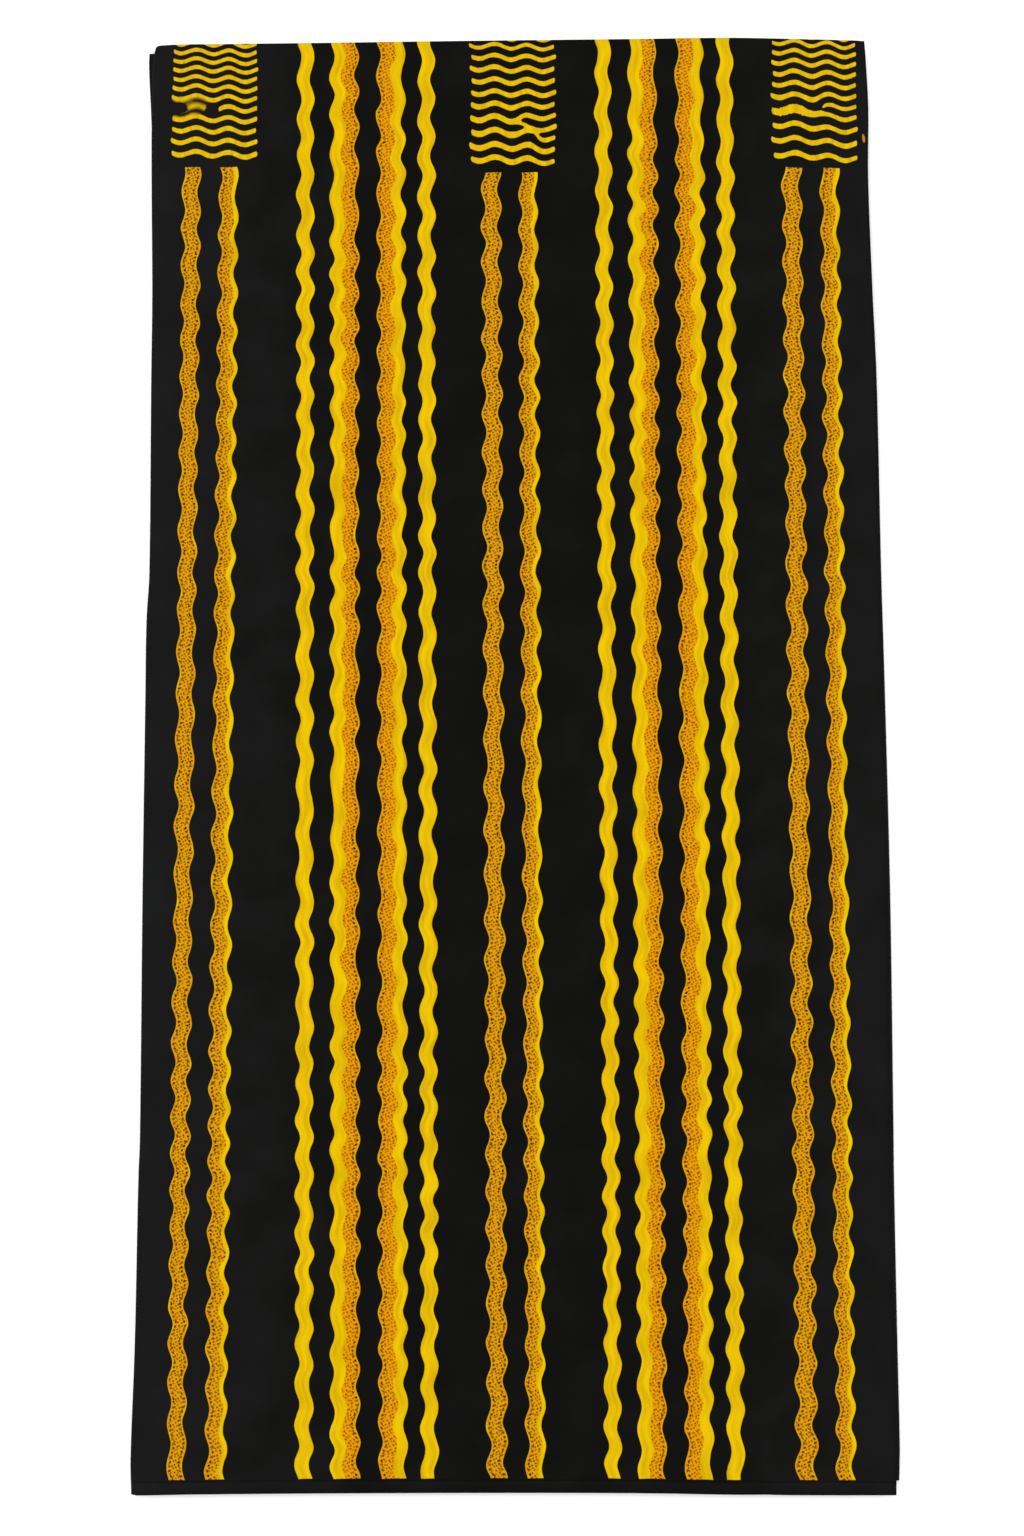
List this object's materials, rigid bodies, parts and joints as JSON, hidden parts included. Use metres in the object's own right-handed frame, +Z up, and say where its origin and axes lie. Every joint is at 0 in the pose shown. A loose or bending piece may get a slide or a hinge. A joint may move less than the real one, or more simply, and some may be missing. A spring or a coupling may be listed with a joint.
{
  "type": "folded wax print cloth",
  "caption": "Length of printed cotton dress cloth, doubled selvedge to selvedge and folded back and forth into a flat rectangular pile.",
  "frame": {"origin": "on the flat underside, at the middle of the folded rectangle", "axes": "+Z up through the plies, +Y towards the fold that doubles the cloth (the top of the design as shown), +X across the panels towards the cut edge on top"},
  "size_m": [0.3092, 0.6027, 0.0091],
  "materials": {
    "printed_cotton": "matt plain-weave cotton with a near-black ground, printed in yellow and ochre wavy stripes"
  },
  "bodies": {
    "root": {"cloth": "printed_cotton"}
  },
  "joints": []
}
